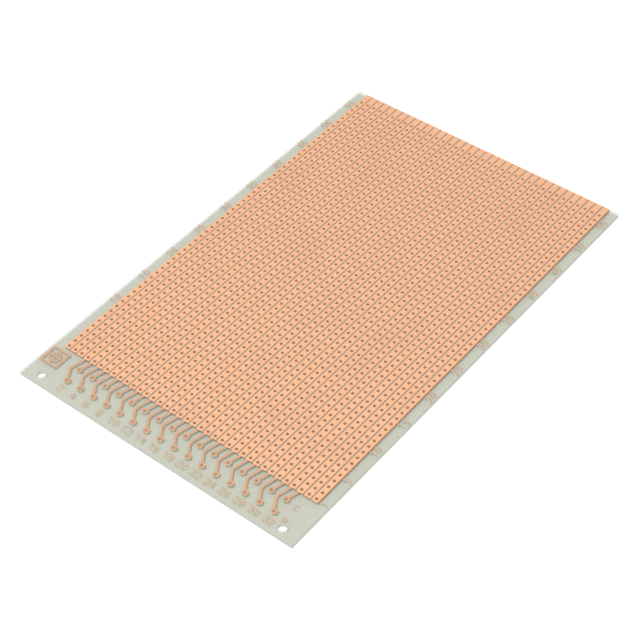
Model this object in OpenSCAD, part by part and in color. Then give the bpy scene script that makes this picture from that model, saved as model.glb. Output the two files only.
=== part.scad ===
// Single-sided prototype board: a glass-epoxy card with parallel copper strips, drilled on a
// square grid, whose lower edge has a two-row pad field for an edge connector.
// The card lies flat with its copper side up. X runs across the strips and Y along them, with
// the connector edge at -Y. The origin is the centre of the card's underside.

/* [Card] */
// Width of the card, across the strips
card_w = 100; // [96:1:130]
// Length of the card, along the strips
card_l = 160; // [60:1:220]
// Thickness of the glass-epoxy laminate
laminate_t = 1.5; // [0.8:0.1:3.2]
// Thickness of the copper foil, above the resin
foil_t = 0.035; // [0.018:0.001:0.105]
// Depth to which the foil's rough back is keyed into the resin
key_t = 0.01; // [0.004:0.001:0.02]
// Clearance between the foil's key and its seat in the resin, all round and below
seat_gap = 0.002; // [0.001:0.001:0.005]
// Step in the underside from one bay to the next; the real card is flat to within this
bay_step = 0.005; // [0.002:0.001:0.01]

/* [Drilling] */
// Spacing of the holes, along the strips and across them
pitch = 2.54; // [2.5:0.01:2.6]
// Diameter of the component holes
hole_d = 1; // [0.8:0.05:1.3]
// Distance from the card's long edges that stays free of strips, at least
side_margin = 3; // [2:0.1:6]
// Distance from the last row of holes to the far edge, at least
far_margin = 3; // [1.5:0.1:6]

/* [Strips] */
// Width of the bare gap between two strips
strip_gap = 0.5; // [0.3:0.05:0.9]
// Length of copper past the first hole of each strip, measured from the hole's centre
strip_end = 1.1; // [0.8:0.05:1.6]

/* [Connector field] */
// Distance between the two mounting holes of the connector
mount_span = 88.9; // [50:0.1:91]
// Diameter of the mounting holes
mount_d = 2.8; // [2:0.1:3.5]
// Distance from the card's edge to the centres of the mounting holes
mount_edge = 3; // [2.5:0.1:6]
// Distance from the mounting holes' line to the outer row of pads
outer_row_offset = 2.84; // [2.5:0.01:4]
// Distance between the outer and the inner row of pads
row_span = 5.08; // [4:0.01:6]
// Distance from the inner row of pads to the first row of component holes
grid_offset = 5.08; // [4:0.01:12]
// Diameter of the pads
pad_d = 2.1; // [1.7:0.05:2.4]
// Diameter of the holes in the pads
pad_hole_d = 1; // [0.8:0.05:1.2]
// Width of the tracks between strips and pads
track_w = 0.7; // [0.3:0.05:0.9]
// Radius of the bends in the tracks, along their centreline
bend_r = 1; // [0.2:0.1:1.5]

/* [Hidden] */
$fn = 72;

// Places across the card, all measured from its centreline
strip_count = 2 * floor((card_w / 2 - side_margin) / pitch - 0.5 + strip_gap / pitch / 2) + 1;
strip_w = pitch - strip_gap;
// The connector's contact places are two pitches in from its mounting holes, and even in number
contact_places = 2 * floor((mount_span / pitch - 3) / 2 + 0.01);
pair_count = contact_places / 2;
strip_names = [for (i = [1:strip_count]) str("strip_", i < 10 ? "0" : "", i)];

// Places along the card
edge_y = -card_l / 2;
mount_y = edge_y + mount_edge;
outer_row_y = mount_y + outer_row_offset;
inner_row_y = outer_row_y + row_span;
first_hole_y = inner_row_y + grid_offset;
row_count = floor((card_l / 2 - far_margin - first_hole_y) / pitch + 0.01) + 1;

// Colours
laminate_colour = [0.80, 0.82, 0.74];
copper_colour = [0.96, 0.74, 0.57];

// A small overlap that makes a cut pass through a face cleanly
eps = 0.01;

// Number of pitches from the centreline to strip i, counted from 1 at the -X side
function strip_place(i) = i - (strip_count + 1) / 2;
function strip_x(i) = strip_place(i) * pitch;

// Strips are wired in turn to the outer and the inner row: the order of strip i among them
function wired_order(i) = strip_place(i) + contact_places / 2;
function is_wired(i) = wired_order(i) >= 1 && wired_order(i) <= contact_places;
function is_outer(i) = wired_order(i) % 2 == 1;

// Each pad lies half a pitch to the side of its strip, so that the two strips of one contact
// place meet at the same X
function pad_x(i) = strip_x(i) + (is_outer(i) ? pitch / 2 : -pitch / 2);
function pad_y(i) = is_outer(i) ? outer_row_y : inner_row_y;

// Corners of the track of strip i, from its first hole to its pad. A track to the outer row
// passes the inner pad on its -X side.
function track_corners(i) = is_outer(i)
    ? [
        [strip_x(i), first_hole_y],
        [strip_x(i) - pitch / 2, inner_row_y],
        [strip_x(i) - pitch / 2, inner_row_y - pitch / 2],
        [pad_x(i), outer_row_y]
      ]
    : [[strip_x(i), first_hole_y], [pad_x(i), inner_row_y]];

function unit(v) = v / norm(v);
function left_of(v) = [-v.y, v.x];

// Points of the arc that rounds the corner b between a and c, at radius r on the centreline
function corner_arc(a, b, c, r) =
    let (
        into = unit(b - a),
        out = unit(c - b),
        turn = acos(into * out),
        side = sign(into.x * out.y - into.y * out.x),
        start = b - into * r * tan(turn / 2),
        centre = start + left_of(into) * side * r,
        steps = max(2, ceil(turn / 8))
    )
    [for (s = [0:steps])
        let (angle = side * turn * s / steps, arm = start - centre)
        centre + [
            arm.x * cos(angle) - arm.y * sin(angle),
            arm.x * sin(angle) + arm.y * cos(angle)
        ]
    ];

// The centreline with each inner corner rounded
function rounded_line(points, r) = [
    for (n = [0:len(points) - 1])
        for (p = n == 0 || n == len(points) - 1
            ? [points[n]]
            : corner_arc(points[n - 1], points[n], points[n + 1], r)) p
];

// Offset of point n of a line to its left by d, square to the line there
function offset_point(line, n, d) =
    let (
        before = n == 0 ? line[1] - line[0] : line[n] - line[n - 1],
        after = n == len(line) - 1 ? before : line[n + 1] - line[n],
        mitre = unit(left_of(unit(before)) + left_of(unit(after)))
    )
    line[n] + mitre * d / (mitre * left_of(unit(before)));

// A track of even width along a line of points
module track(line, w) {
    last = len(line) - 1;
    right_side = [for (n = [0:last]) offset_point(line, n, -w / 2)];
    left_side = [for (n = [last:-1:0]) offset_point(line, n, w / 2)];
    polygon(concat(right_side, left_side));
}

// Centres of the component holes of strip i
function strip_holes(i) = [for (row = [0:row_count - 1]) [strip_x(i), first_hole_y + row * pitch]];

module drill_strip(i) {
    for (p = strip_holes(i)) translate(p) circle(d = hole_d);
    if (is_wired(i)) translate([pad_x(i), pad_y(i)]) circle(d = pad_hole_d);
}

module drill_mounts() {
    for (side = [-1, 1]) translate([side * mount_span / 2, mount_y]) circle(d = mount_d);
}

// What etching leaves of the foil for strip i: the strip, and its track and pad if it has them.
// The seat of its key has the same outline, grown by the clearance.
module foil_outline(i, grow = 0) {
    start_y = first_hole_y - strip_end - grow;
    translate([strip_x(i) - strip_w / 2 - grow, start_y])
        square([strip_w + 2 * grow, card_l / 2 + grow - start_y]);
    if (is_wired(i)) {
        track(rounded_line(track_corners(i), bend_r), track_w + 2 * grow);
        translate([pad_x(i), pad_y(i)]) circle(d = pad_d + 2 * grow);
    }
}

// The card is one bay wide for each pair of strips that shares a contact place, with a bay for
// each margin. These are the bays' edges from -X to +X; no hole lies across one.
function pair_x(n) = pitch * (2 * n - (contact_places + 1) / 2);
bay_edges = concat(
    [-card_w / 2],
    [for (n = [1:pair_count + 1]) pair_x(n) - pitch],
    [card_w / 2]
);
bay_count = len(bay_edges) - 1;

function strips_between(x0, x1) = [for (i = [1:strip_count]) if (strip_x(i) > x0 && strip_x(i) < x1) i];

// Bay n of the card: drilled through, with the seat that each strip's rough back left in its
// top. A track can lie across a bay's edge, so the strips next to the bay have theirs cut too.
module bay(n) {
    x0 = bay_edges[n];
    x1 = bay_edges[n + 1];
    under = n % 2 == 0 ? 0 : bay_step;
    seat_t = key_t + seat_gap;
    difference() {
        translate([0, 0, under])
            linear_extrude(laminate_t - under)
                difference() {
                    translate([x0, -card_l / 2]) square([x1 - x0, card_l]);
                    for (i = strips_between(x0, x1)) drill_strip(i);
                    drill_mounts();
                }
        for (i = strips_between(x0 - pitch, x1 + pitch))
            translate([0, 0, laminate_t - seat_t]) linear_extrude(seat_t + eps) foil_outline(i, seat_gap);
    }
}

// The glass-epoxy card, one solid with every hole
module laminate() {
    color(laminate_colour)
        for (n = [0:bay_count - 1]) bay(n);
}

// The foil of strip i, drilled with the card
module strip(i) {
    color(copper_colour)
        translate([0, 0, laminate_t - key_t])
            linear_extrude(foil_t + key_t)
                difference() {
                    foil_outline(i);
                    drill_strip(i);
                }
}

laminate();
for (i = [1:strip_count])
    strip(i);
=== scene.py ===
import math

import bpy
from mathutils import Matrix, Vector
from mathutils.geometry import delaunay_2d_cdt


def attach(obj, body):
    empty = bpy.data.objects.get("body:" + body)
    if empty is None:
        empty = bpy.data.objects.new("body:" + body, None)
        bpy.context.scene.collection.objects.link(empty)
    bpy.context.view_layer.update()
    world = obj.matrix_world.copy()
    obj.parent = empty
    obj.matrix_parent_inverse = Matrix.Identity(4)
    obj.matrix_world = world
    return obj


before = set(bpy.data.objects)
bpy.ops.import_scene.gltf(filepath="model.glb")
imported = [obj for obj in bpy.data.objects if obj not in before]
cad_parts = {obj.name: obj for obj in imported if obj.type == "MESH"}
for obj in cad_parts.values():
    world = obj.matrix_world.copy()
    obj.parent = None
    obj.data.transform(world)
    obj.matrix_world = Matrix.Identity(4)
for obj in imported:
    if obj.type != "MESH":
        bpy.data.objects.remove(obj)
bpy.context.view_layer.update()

MM = 0.001
MM_IN_METRE = 1000.0

# Sizes of the card that the etched marks line up with
CARD_W = 100 * MM
CARD_L = 160 * MM
PITCH = 2.54 * MM
STRIP_W = 2.04 * MM
STRIP_END = 1.1 * MM
RESIN_TOP = 1.5 * MM
FOIL_TOP = 1.535 * MM
CONTACT_PLACES = 32
OUTER_ROW_Y = -CARD_L / 2 + 5.84 * MM
INNER_ROW_Y = -CARD_L / 2 + 10.92 * MM
FIRST_ROW_Y = -CARD_L / 2 + 16.0 * MM
STRIPS_EACH_SIDE = 18
ROW_COUNT = 56
HOLE_R = 0.5 * MM
MOUNT_X = 44.45 * MM
MOUNT_Y = -CARD_L / 2 + 3.0 * MM
MOUNT_R = 1.4 * MM
FIELD_SPARE = 0.02 * MM
FIELD_HALF_W = STRIPS_EACH_SIDE * PITCH + STRIP_W / 2 + FIELD_SPARE
FIELD_START_Y = FIRST_ROW_Y - STRIP_END

# Etched marks
SAME_POINT = 1e-6
FIGURE_H = 2.1 * MM
STROKE_W = 0.21 * MM
FOIL_KEY = 0.01 * MM
NUMBER_Y = -CARD_L / 2 + 2.65 * MM
ONE_DIGIT_NUDGE = 0.1 * MM
TWO_DIGIT_NUDGE = 0.5 * MM
LETTER_X = CARD_W / 2 - 6.95 * MM
LETTER_DROP = 0.15 * MM
ROW_NUMBER_DROP = 0.3 * MM
RIGHT_NUMBER_X = CARD_W / 2 - 1.75 * MM
LEFT_NUMBER_X = -CARD_W / 2 + 1.4 * MM
TARGET_X = -CARD_W / 2 + 3.9 * MM
TARGET_Y = -CARD_L / 2 + 10.3 * MM
TARGET_SIDE = 5.9 * MM
TARGET_RING_R = 1.7 * MM
TARGET_CROSS_R = 2.3 * MM
TARGET_FRAME_W = 0.6 * MM
TARGET_LINE_W = 0.4 * MM

# Glass cloth and resin of the card
WARP = 0.62 * MM
WEFT = 0.78 * MM
LAYER = 0.2 * MM
EDGE_ZONE = 0.05 * MM
MOUNT_ZONE = 4.5 * MM
RESIN_CLEAR = 0.8
RESIN_CLEAR_IN_FIELD = 0.42
EDGE_CLEAR = 0.65
HOLE_WALL_CLEAR = 0.3
PLY_TOP = 0.5 * MM
PLY_THICK = 0.1 * MM
PLY_INSET = 0.03 * MM

# Camera, as it stood for the photograph
LENS_MM = 97.82
SENSOR_MM = 36
LENS_SHIFT_X = 0.1101
LENS_SHIFT_Y = 0.0010
AIM = Vector((-10.67, -24.36, 1.535)) * MM
CAMERA_DISTANCE = 508.63 * MM
CAMERA_AZIMUTH = math.radians(42.273)
CAMERA_ELEVATION = math.radians(45.822)
CAMERA_ROLL = math.radians(-3.365)

# Stage
WHITE = (1, 1, 1, 1)
WORLD_LEVEL = 0.5
FLOOR_GLOW = 0.5
FLOOR_HALF_W = 3.0
FLOOR_DROP = 0.02 * MM
LAMP_PLACE = (-0.25, -0.65, 2.0)
LAMP_W = 0.7
LAMP_POWER = 22.0


# Materials

class Nodes:
    """Adds and links the nodes of one material or world."""

    def __init__(self, owner):
        owner.use_nodes = True
        self.tree = owner.node_tree
        self.tree.nodes.clear()

    def add(self, kind, **inputs):
        node = self.tree.nodes.new("ShaderNode" + kind)
        for name, value in inputs.items():
            self.put(node, name, value)
        return node

    def put(self, node, name, value):
        socket = node.inputs[int(name)] if name.isdigit() else node.inputs[name]
        if isinstance(value, bpy.types.NodeSocket):
            self.tree.links.new(value, socket)
        else:
            socket.default_value = value

    def math(self, operation, a, b=0.0):
        node = self.tree.nodes.new("ShaderNodeMath")
        node.operation = operation
        self.put(node, "0", a)
        self.put(node, "1", b)
        return node.outputs[0]

    def mix(self, factor, a, b):
        node = self.tree.nodes.new("ShaderNodeMix")
        node.data_type = "RGBA"
        self.put(node, "0", factor)
        self.put(node, "6", a)
        self.put(node, "7", b)
        return node.outputs[2]

    def noise(self, vector, scale, detail=2.0, roughness=0.5):
        node = self.add("TexNoise", Scale=scale, Detail=detail, Roughness=roughness)
        self.put(node, "Vector", vector)
        return node.outputs["Fac"]

    def span(self, value, low, high, out_low=0.0, out_high=1.0):
        node = self.add("MapRange")
        self.put(node, "From Min", low)
        self.put(node, "From Max", high)
        self.put(node, "To Min", out_low)
        self.put(node, "To Max", out_high)
        self.put(node, "Value", value)
        return node.outputs["Result"]


def stretched(nodes, position, scale):
    mapping = nodes.add("Mapping", Scale=scale)
    nodes.put(mapping, "Vector", position)
    return mapping.outputs["Vector"]


def strip_field(nodes, place):
    """1 where the card is covered with strips, 0 in the margins and the connector field."""
    across = nodes.math("LESS_THAN", nodes.math("ABSOLUTE", place.outputs["X"]), FIELD_HALF_W)
    along = nodes.math("GREATER_THAN", place.outputs["Y"], FIELD_START_Y)
    return nodes.math("MULTIPLY", across, along)


def wave(nodes, coordinate, length):
    """A sine along one axis, once per length."""
    return nodes.math("SINE", nodes.math("MULTIPLY", coordinate, 2 * math.pi / length))


def cloth_weave(nodes, place):
    """Warp and weft threads crossing, from 0 to 1."""
    warp = wave(nodes, place.outputs["X"], WARP)
    weft = wave(nodes, place.outputs["Y"], WEFT)
    return nodes.span(nodes.math("MULTIPLY", warp, weft), -1.0, 1.0)


def laminate_material():
    """Pale green glass-epoxy: cloth weave in a clear resin, sawn edges and drilled walls."""
    material = bpy.data.materials.new("glass_epoxy")
    nodes = Nodes(material)
    geometry = nodes.add("NewGeometry")
    position = geometry.outputs["Position"]
    place = nodes.add("SeparateXYZ")
    nodes.put(place, "Vector", position)
    facing = nodes.add("SeparateXYZ")
    nodes.put(facing, "Vector", geometry.outputs["Normal"])

    # The cloth shows as threads under the resin
    weave = cloth_weave(nodes, place)
    cloud = nodes.noise(position, 90.0, 3.0)
    grain = nodes.noise(position, 2600.0, 2.0)

    pale = (0.70, 0.72, 0.62, 1)
    deep = (0.64, 0.67, 0.56, 1)
    cloudy = (0.68, 0.67, 0.60, 1)
    face_colour = nodes.mix(nodes.span(weave, 0, 1, 0.38, 0.62), deep, pale)
    face_colour = nodes.mix(nodes.span(cloud, 0.35, 0.65, 0.0, 0.35), face_colour, cloudy)

    # Painted shade: between the strips the resin face is mixed towards a darker copper-brown tone,
    # which stands in for the shade in the narrow gaps
    painted_gap_shade_tone = (0.70, 0.50, 0.32, 1)
    in_field = strip_field(nodes, place)
    face_colour = nodes.mix(nodes.math("MULTIPLY", in_field, 0.85), face_colour, painted_gap_shade_tone)

    # Sawn edges: layers of cloth lie along the card. Their near-white tone is partly the sawn edge's
    # own lighter look and partly painted light, which makes the walls' inner faces, seen through the
    # clear resin, look lit
    layer_share = nodes.span(wave(nodes, place.outputs["Z"], LAYER), -1, 1, 0.3, 0.7)
    sawn = (0.80, 0.81, 0.73, 1)
    edge_colour = nodes.mix(layer_share, (0.88, 0.88, 0.80, 1), (0.96, 0.96, 0.88, 1))
    edge_colour = nodes.mix(nodes.span(grain, 0.4, 0.6, 0.0, 0.3), edge_colour, sawn)

    # Drilled walls: painted light. Their colours are lit tones that stand in for light reaching the
    # walls: a copper-orange in the strips, tinted by the copper round them, a lighter tone in the
    # pads, and near-white in the mounting holes, where light comes through the translucent card
    strip_wall_painted_light = nodes.mix(grain, (0.88, 0.60, 0.40, 1), (0.96, 0.70, 0.48, 1))
    pad_wall_painted_light = nodes.mix(grain, (0.95, 0.79, 0.60, 1), (0.99, 0.87, 0.70, 1))
    mount_wall_painted_light = nodes.mix(grain, (0.90, 0.92, 0.82, 1), (0.95, 0.96, 0.88, 1))

    upright = nodes.math("LESS_THAN", nodes.math("ABSOLUTE", facing.outputs["Z"]), 0.5)
    from_middle_x = nodes.math("ABSOLUTE", place.outputs["X"])
    from_middle_y = nodes.math("ABSOLUTE", place.outputs["Y"])
    far_x = nodes.math("GREATER_THAN", from_middle_x, CARD_W / 2 - EDGE_ZONE)
    far_y = nodes.math("GREATER_THAN", from_middle_y, CARD_L / 2 - EDGE_ZONE)
    outer = nodes.math("MAXIMUM", far_x, far_y)
    mount_line = nodes.math("LESS_THAN", place.outputs["Y"], -CARD_L / 2 + MOUNT_ZONE)
    hole_painted_light = nodes.mix(mount_line, nodes.mix(in_field, pad_wall_painted_light, strip_wall_painted_light), mount_wall_painted_light)
    side_colour = nodes.mix(outer, hole_painted_light, edge_colour)
    colour = nodes.mix(upright, face_colour, side_colour)

    bump = nodes.add("Bump", Strength=0.12, Distance=0.02 * MM)
    nodes.put(bump, "Height", nodes.math("ADD", weave, nodes.math("MULTIPLY", grain, 0.5)))

    # Above the cloth the resin is partly clear, so that the foil's shade shows on the cloth. Away
    # from the strips the sawn edges and the holes' walls let light through too.
    face_clear = nodes.span(in_field, 0, 1, RESIN_CLEAR, RESIN_CLEAR_IN_FIELD)
    wall_clear = nodes.span(outer, 0, 1, HOLE_WALL_CLEAR, EDGE_CLEAR)
    bare_wall_clear = nodes.math("MULTIPLY", nodes.math("SUBTRACT", 1.0, in_field), wall_clear)
    clear = nodes.span(upright, 0, 1, face_clear, bare_wall_clear)
    above_cloth = nodes.math("GREATER_THAN", place.outputs["Z"], PLY_TOP)
    opacity = nodes.math("SUBTRACT", 1.0, nodes.math("MULTIPLY", clear, above_cloth))

    shader = nodes.add("BsdfPrincipled", Metallic=0.0, IOR=1.5)
    nodes.put(shader, "Base Color", colour)
    nodes.put(shader, "Alpha", opacity)
    nodes.put(shader, "Roughness", nodes.span(grain, 0.3, 0.7, 0.34, 0.5))
    nodes.put(shader, "Normal", bump.outputs["Normal"])
    output = nodes.add("OutputMaterial")
    nodes.put(output, "Surface", shader.outputs["BSDF"])
    return material


def cloth_material():
    """Woven glass in the card's depth: each thread a little lighter along its middle."""
    material = bpy.data.materials.new("glass_cloth")
    nodes = Nodes(material)
    position = nodes.add("NewGeometry").outputs["Position"]
    place = nodes.add("SeparateXYZ")
    nodes.put(place, "Vector", position)
    cloud = nodes.noise(position, 120.0, 3.0)
    colour = nodes.mix(cloth_weave(nodes, place), (0.66, 0.69, 0.585, 1), (0.74, 0.76, 0.66, 1))
    colour = nodes.mix(nodes.span(cloud, 0.35, 0.65, 0.0, 0.3), colour, (0.68, 0.69, 0.60, 1))
    # Painted shade: under the strips the cloth is mixed towards a copper-brown tone, which stands in
    # for the shade seen in the gaps between the strips
    painted_gap_shade_share = nodes.math("MULTIPLY", strip_field(nodes, place), 0.7)
    colour = nodes.mix(painted_gap_shade_share, colour, (0.80, 0.56, 0.38, 1))
    shader = nodes.add("BsdfPrincipled", Metallic=0.0, Roughness=0.8)
    nodes.put(shader, "Base Color", colour)
    output = nodes.add("OutputMaterial")
    nodes.put(output, "Surface", shader.outputs["BSDF"])
    return material


def copper_material():
    """Bare copper foil: rolled along Y, matt, with faint patches of tarnish."""
    material = bpy.data.materials.new("copper_foil")
    nodes = Nodes(material)
    position = nodes.add("NewGeometry").outputs["Position"]
    rolled = nodes.noise(stretched(nodes, position, (3000.0, 160.0, 3000.0)), 1.0, 3.0)
    patches = nodes.noise(position, 55.0, 4.0, 0.6)
    specks = nodes.noise(position, 1500.0, 2.0)

    bright = (0.85, 0.50, 0.315, 1)
    warm = (0.82, 0.47, 0.29, 1)
    dull = (0.74, 0.43, 0.285, 1)
    colour = nodes.mix(nodes.span(rolled, 0.3, 0.7), bright, warm)
    colour = nodes.mix(nodes.span(patches, 0.50, 0.75, 0.0, 0.55), colour, dull)
    colour = nodes.mix(nodes.span(specks, 0.60, 0.80, 0.0, 0.25), colour, dull)

    # Painted shade: outside the strip field, on the tracks, pads and figures, the copper is mixed
    # towards a darker, duller tone, which stands in for the shade beside these thin strokes
    place = nodes.add("SeparateXYZ")
    nodes.put(place, "Vector", position)
    off_strips_painted_shade = nodes.math("SUBTRACT", 1.0, strip_field(nodes, place))
    colour = nodes.mix(nodes.math("MULTIPLY", off_strips_painted_shade, 0.8), colour, (0.58, 0.365, 0.235, 1))

    bump = nodes.add("Bump", Strength=0.15, Distance=0.004 * MM)
    nodes.put(bump, "Height", nodes.math("ADD", rolled, specks))

    shader = nodes.add("BsdfPrincipled", Metallic=1.0)
    nodes.put(shader, "Base Color", colour)
    nodes.put(shader, "Roughness", nodes.span(rolled, 0.2, 0.8, 0.46, 0.62))
    nodes.put(shader, "Normal", bump.outputs["Normal"])
    output = nodes.add("OutputMaterial")
    nodes.put(output, "Surface", shader.outputs["BSDF"])
    return material


def floor_material():
    """White paper that keeps the card's shadow and meets the white background."""
    material = bpy.data.materials.new("white_floor")
    nodes = Nodes(material)
    position = nodes.add("NewGeometry").outputs["Position"]
    fibre = nodes.noise(position, 700.0, 2.0)
    paper = nodes.add("BsdfDiffuse")
    nodes.put(paper, "Color", nodes.mix(fibre, (0.60, 0.60, 0.60, 1), (0.62, 0.62, 0.62, 1)))
    glow = nodes.add("Emission", Color=WHITE)
    nodes.put(glow, "Strength", nodes.math("MULTIPLY", seen(nodes), FLOOR_GLOW))
    both = nodes.add("AddShader")
    nodes.put(both, "0", paper.outputs["BSDF"])
    nodes.put(both, "1", glow.outputs["Emission"])
    output = nodes.add("OutputMaterial")
    nodes.put(output, "Surface", both.outputs["Shader"])
    return material


def seen(nodes):
    """1 for rays that the camera sees, straight, in a gloss or through the card."""
    path = nodes.add("LightPath")
    direct = nodes.math("MAXIMUM", path.outputs["Is Camera Ray"], path.outputs["Is Glossy Ray"])
    return nodes.math("MAXIMUM", direct, path.outputs["Is Transmission Ray"])


# Etched marks: each figure is drawn with strokes in a box one unit high, the baseline at 0

def arc(centre_x, centre_y, radius_x, radius_y, start, end, steps=14):
    angles = [math.radians(start + (end - start) * s / steps) for s in range(steps + 1)]
    return [(centre_x + radius_x * math.cos(a), centre_y + radius_y * math.sin(a)) for a in angles]


def oval(centre_x, centre_y, radius_x, radius_y):
    return arc(centre_x, centre_y, radius_x, radius_y, 0, 360, 24)


FIGURES = {
    "0": [oval(0.29, 0.5, 0.29, 0.5)],
    "1": [[(0.08, 0.78), (0.30, 1.0), (0.30, 0.0)]],
    "2": [arc(0.29, 0.72, 0.29, 0.28, 170, -35) + [(0.0, 0.0), (0.58, 0.0)]],
    "3": [arc(0.27, 0.76, 0.26, 0.24, 160, -90), arc(0.27, 0.27, 0.31, 0.27, 90, -160)],
    "4": [[(0.44, 0.0), (0.44, 1.0)], [(0.44, 1.0), (0.0, 0.32), (0.62, 0.32)]],
    "5": [[(0.54, 1.0), (0.08, 1.0), (0.05, 0.56)] + arc(0.27, 0.33, 0.31, 0.33, 125, -150)],
    "6": [oval(0.29, 0.31, 0.29, 0.31), arc(0.56, 0.31, 0.56, 0.69, 180, 105)],
    "8": [oval(0.29, 0.76, 0.25, 0.24), oval(0.29, 0.26, 0.30, 0.26)],
    "a": [oval(0.28, 0.32, 0.28, 0.32), [(0.56, 0.64), (0.56, 0.0)]],
    "c": [arc(0.30, 0.32, 0.30, 0.32, 50, 310, 20)],
}
FIGURE_W = 0.58
FIGURE_GAP = 0.34


def ribbon(points, width):
    """Faces, as lists of 2-D points, that make a stroke of even width with round ends."""
    closed = (Vector(points[0]) - Vector(points[-1])).length < 1e-9
    line = [Vector(p) for p in (points[:-1] if closed else points)]
    count = len(line)
    half = width / 2
    sides = []
    for n in range(count):
        before = line[n] - line[n - 1] if (closed or n) else line[1] - line[0]
        after = line[(n + 1) % count] - line[n] if (closed or n < count - 1) else before
        left = Vector((-before.y, before.x)).normalized() + Vector((-after.y, after.x)).normalized()
        left.normalize()
        square = Vector((-before.y, before.x)).normalized()
        reach = min(half / max(left.dot(square), 0.3), 2 * half)
        sides.append((line[n] - left * reach, line[n] + left * reach))
    faces = []
    for n in range(count if closed else count - 1):
        (right_a, left_a), (right_b, left_b) = sides[n], sides[(n + 1) % count]
        faces.append([right_a, right_b, left_b, left_a])
    if not closed:
        for end, inner in ((line[0], line[1]), (line[-1], line[-2])):
            out = (end - inner).normalized()
            side = Vector((-out.y, out.x))
            turns = [math.pi * s / 8 for s in range(9)]
            faces.append([end - side * half * math.cos(t) + out * half * math.sin(t) for t in turns])
    return faces


def triangulate(faces):
    """Triangles of all the faces, each with the list of the faces that it lies in, in order.

    The work is done in millimetres, the unit of the tolerance within which points are one.
    """
    points = [p * MM_IN_METRE for face in faces for p in face]
    loops = []
    start = 0
    for face in faces:
        loops.append(list(range(start, start + len(face))))
        start += len(face)
    inside_only = 1
    result = delaunay_2d_cdt(points, [], loops, inside_only, SAME_POINT)
    vertices, _, triangles, _, _, sources = result
    return [v / MM_IN_METRE for v in vertices], list(zip(triangles, sources))


def union(faces):
    """The area that the faces cover together, with every overlap merged."""
    vertices, parts = triangulate(faces)
    return vertices, [triangle for triangle, source in parts if source]


def pierced(outline, holes):
    """The area of the outline that no hole takes out."""
    vertices, parts = triangulate([outline] + holes)
    return vertices, [triangle for triangle, source in parts if list(source) == [0]]


def figure_area(strokes, height):
    faces = []
    for stroke in strokes:
        scaled = [(x * height, y * height) for x, y in stroke]
        faces += ribbon(scaled, STROKE_W)
    return union(faces)


class Sheet:
    """Collects flat areas and makes one closed mesh of them, between two levels."""

    def __init__(self, top=FOIL_TOP, bottom=RESIN_TOP - FOIL_KEY):
        self.levels = (top, bottom)
        self.vertices = []
        self.faces = []

    def add(self, area, place=Matrix()):
        points, triangles = area
        top = len(self.vertices)
        bottom = top + len(points)
        flat = [place @ Vector((p.x, p.y, 0)) for p in points]
        for level in self.levels:
            self.vertices += [(p.x, p.y, level) for p in flat]
        edges = set()
        for triangle in triangles:
            a, b, c = upward(triangle, points)
            self.faces.append((top + a, top + b, top + c))
            self.faces.append((bottom + c, bottom + b, bottom + a))
            edges |= {(a, b), (b, c), (c, a)}
        for a, b in sorted(edges):
            if (b, a) not in edges:
                self.faces.append((top + b, top + a, bottom + a, bottom + b))

    def write(self, text, centre, height=FIGURE_H, turn=0.0):
        width = (FIGURE_W * len(text) + FIGURE_GAP * (len(text) - 1)) * height
        centred = Matrix.Translation(Vector((centre[0], centre[1], 0)))
        place = centred @ Matrix.Rotation(turn, 4, "Z")
        for n, letter in enumerate(text):
            step = Vector((-width / 2 + n * (FIGURE_W + FIGURE_GAP) * height, -height / 2, 0))
            self.add(figure_area(FIGURES[letter], height), place @ Matrix.Translation(step))

    def make(self, name, material):
        mesh = bpy.data.meshes.new(name)
        mesh.from_pydata(self.vertices, [], self.faces)
        mesh.validate()
        mesh.update()
        mesh.materials.append(material)
        piece = bpy.data.objects.new(name, mesh)
        bpy.context.scene.collection.objects.link(piece)
        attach(piece, "root")


def upward(triangle, points):
    a, b, c = triangle
    turn = (points[b] - points[a]).cross(points[c] - points[a])
    return (a, b, c) if turn > 0 else (a, c, b)


def pad_x(place):
    return (place - 0.5 - CONTACT_PLACES / 2) * PITCH


def contact_numbers(copper):
    """Numbers of the even contact places, under the outer pads and a little to their right."""
    foil = Sheet()
    for place in range(2, CONTACT_PLACES + 1, 2):
        number = str(place)
        nudge = ONE_DIGIT_NUDGE if len(number) == 1 else TWO_DIGIT_NUDGE
        foil.write(number, (pad_x(place) + nudge, NUMBER_Y))
    foil.make("contact_numbers", copper)


def row_letters(copper):
    """Letters of the two pad rows, past their last pads."""
    foil = Sheet()
    foil.write("a", (LETTER_X, OUTER_ROW_Y - LETTER_DROP))
    foil.write("c", (LETTER_X, INNER_ROW_Y - LETTER_DROP))
    foil.make("row_letters", copper)


def row_numbers(name, x, rows, copper):
    """Numbers of the hole rows, one margin of the card, turned to read along it."""
    foil = Sheet()
    for row in rows:
        y = FIRST_ROW_Y + (row - 1) * PITCH - ROW_NUMBER_DROP
        foil.write(str(row), (x, y), turn=math.pi / 2)
    foil.make(name, copper)


def film_target(copper):
    """The plain target that lines the etching film up with the card."""
    foil = Sheet()
    half = TARGET_SIDE / 2
    reach = TARGET_CROSS_R
    square = [(-half, -half), (half, -half), (half, half), (-half, half), (-half, -half)]
    ring = oval(0, 0, TARGET_RING_R, TARGET_RING_R)
    cross = [[(-reach, 0), (reach, 0)], [(0, -reach), (0, reach)]]
    place = Matrix.Translation(Vector((TARGET_X, TARGET_Y, 0)))
    for strokes, width in (([square], TARGET_FRAME_W), ([ring] + cross, TARGET_LINE_W)):
        foil.add(union([face for stroke in strokes for face in ribbon(stroke, width)]), place)
    foil.make("film_target", copper)


# Depth of the card

def round_hole(centre, radius, sides):
    """A polygon that stands clear of a round hole, all round."""
    reach = (radius + PLY_INSET) / math.cos(math.pi / sides)
    angles = [2 * math.pi * s / sides for s in range(sides)]
    return [Vector((centre[0] + reach * math.cos(a), centre[1] + reach * math.sin(a))) for a in angles]


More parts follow.
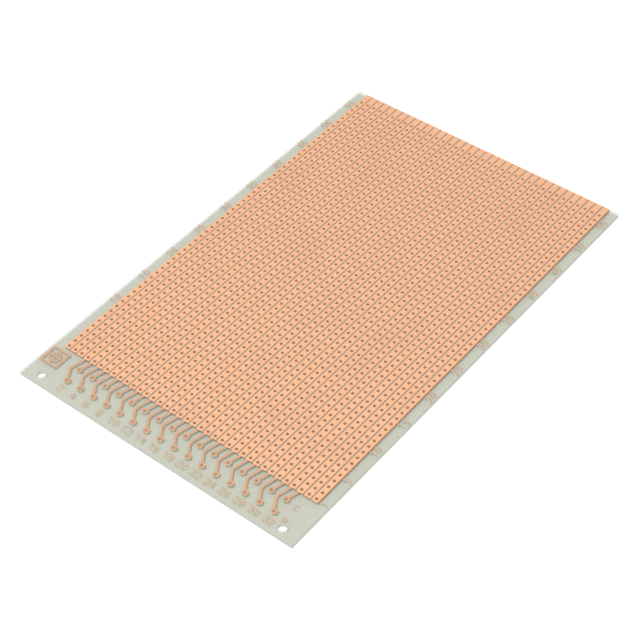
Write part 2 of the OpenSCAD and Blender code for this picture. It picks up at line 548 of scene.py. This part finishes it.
def cloth_ply(material):
    """The glass cloth in the card's depth: one thin closed sheet, drilled as the card is."""
    half_w = CARD_W / 2 - PLY_INSET
    half_l = CARD_L / 2 - PLY_INSET
    corners = ((-half_w, -half_l), (half_w, -half_l), (half_w, half_l), (-half_w, half_l))
    outline = [Vector(corner) for corner in corners]
    strips = [n * PITCH for n in range(-STRIPS_EACH_SIDE, STRIPS_EACH_SIDE + 1)]
    centres = [(x, FIRST_ROW_Y + row * PITCH) for x in strips for row in range(ROW_COUNT)]
    for place in range(2, CONTACT_PLACES + 1, 2):
        centres += [(pad_x(place), OUTER_ROW_Y), (pad_x(place), INNER_ROW_Y)]
    holes = [round_hole(centre, HOLE_R, 12) for centre in centres]
    holes += [round_hole((side * MOUNT_X, MOUNT_Y), MOUNT_R, 48) for side in (-1, 1)]
    ply = Sheet(PLY_TOP, PLY_TOP - PLY_THICK)
    ply.add(pierced(outline, holes))
    ply.make("glass_cloth", material)


# Stage

def add_camera():
    data = bpy.data.cameras.new("camera")
    data.lens = LENS_MM
    data.sensor_width = SENSOR_MM
    data.shift_x = LENS_SHIFT_X
    data.shift_y = LENS_SHIFT_Y
    data.clip_start = 10 * MM
    camera = bpy.data.objects.new("camera", data)
    outward = Vector((
        math.sin(CAMERA_AZIMUTH) * math.cos(CAMERA_ELEVATION),
        -math.cos(CAMERA_AZIMUTH) * math.cos(CAMERA_ELEVATION),
        math.sin(CAMERA_ELEVATION),
    ))
    facing = outward.to_track_quat("Z", "Y").to_matrix().to_4x4()
    turn = facing @ Matrix.Rotation(CAMERA_ROLL, 4, "Z")
    camera.matrix_world = Matrix.Translation(AIM + outward * CAMERA_DISTANCE) @ turn
    bpy.context.scene.collection.objects.link(camera)
    bpy.context.scene.camera = camera


def add_floor():
    reach = FLOOR_HALF_W
    corners = [(-reach, -reach, 0), (reach, -reach, 0), (reach, reach, 0), (-reach, reach, 0)]
    mesh = bpy.data.meshes.new("floor")
    mesh.from_pydata(corners, [], [(0, 1, 2, 3)])
    mesh.materials.append(floor_material())
    floor = bpy.data.objects.new("floor", mesh)
    floor.location.z = -FLOOR_DROP
    bpy.context.scene.collection.objects.link(floor)


def add_lamp():
    data = bpy.data.lights.new("key", "AREA")
    data.shape = "DISK"
    data.size = LAMP_W
    data.energy = LAMP_POWER
    lamp = bpy.data.objects.new("key", data)
    lamp.location = LAMP_PLACE
    lamp.rotation_euler = (-Vector(LAMP_PLACE)).to_track_quat("-Z", "Y").to_euler()
    bpy.context.scene.collection.objects.link(lamp)


def add_world():
    world = bpy.data.worlds.new("studio")
    bpy.context.scene.world = world
    nodes = Nodes(world)
    sky = nodes.add("Background", Color=WHITE)
    white_where_seen = nodes.math("MULTIPLY", seen(nodes), 1 - WORLD_LEVEL)
    nodes.put(sky, "Strength", nodes.math("ADD", WORLD_LEVEL, white_where_seen))
    output = nodes.add("OutputWorld")
    nodes.put(output, "Surface", sky.outputs["Background"])


def dress(node, material):
    node.data.materials.clear()
    node.data.materials.append(material)


copper = copper_material()
for name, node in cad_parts.items():
    dress(node, copper if name.startswith("strip") else laminate_material())

cloth_ply(cloth_material())
contact_numbers(copper)
row_letters(copper)
row_numbers("row_numbers_right", RIGHT_NUMBER_X, [1] + list(range(5, ROW_COUNT, 5)), copper)
row_numbers("row_numbers_left", LEFT_NUMBER_X, range(10, ROW_COUNT, 5), copper)
film_target(copper)

add_camera()
add_floor()
add_lamp()
add_world()
bpy.context.scene.view_settings.view_transform = "Standard"
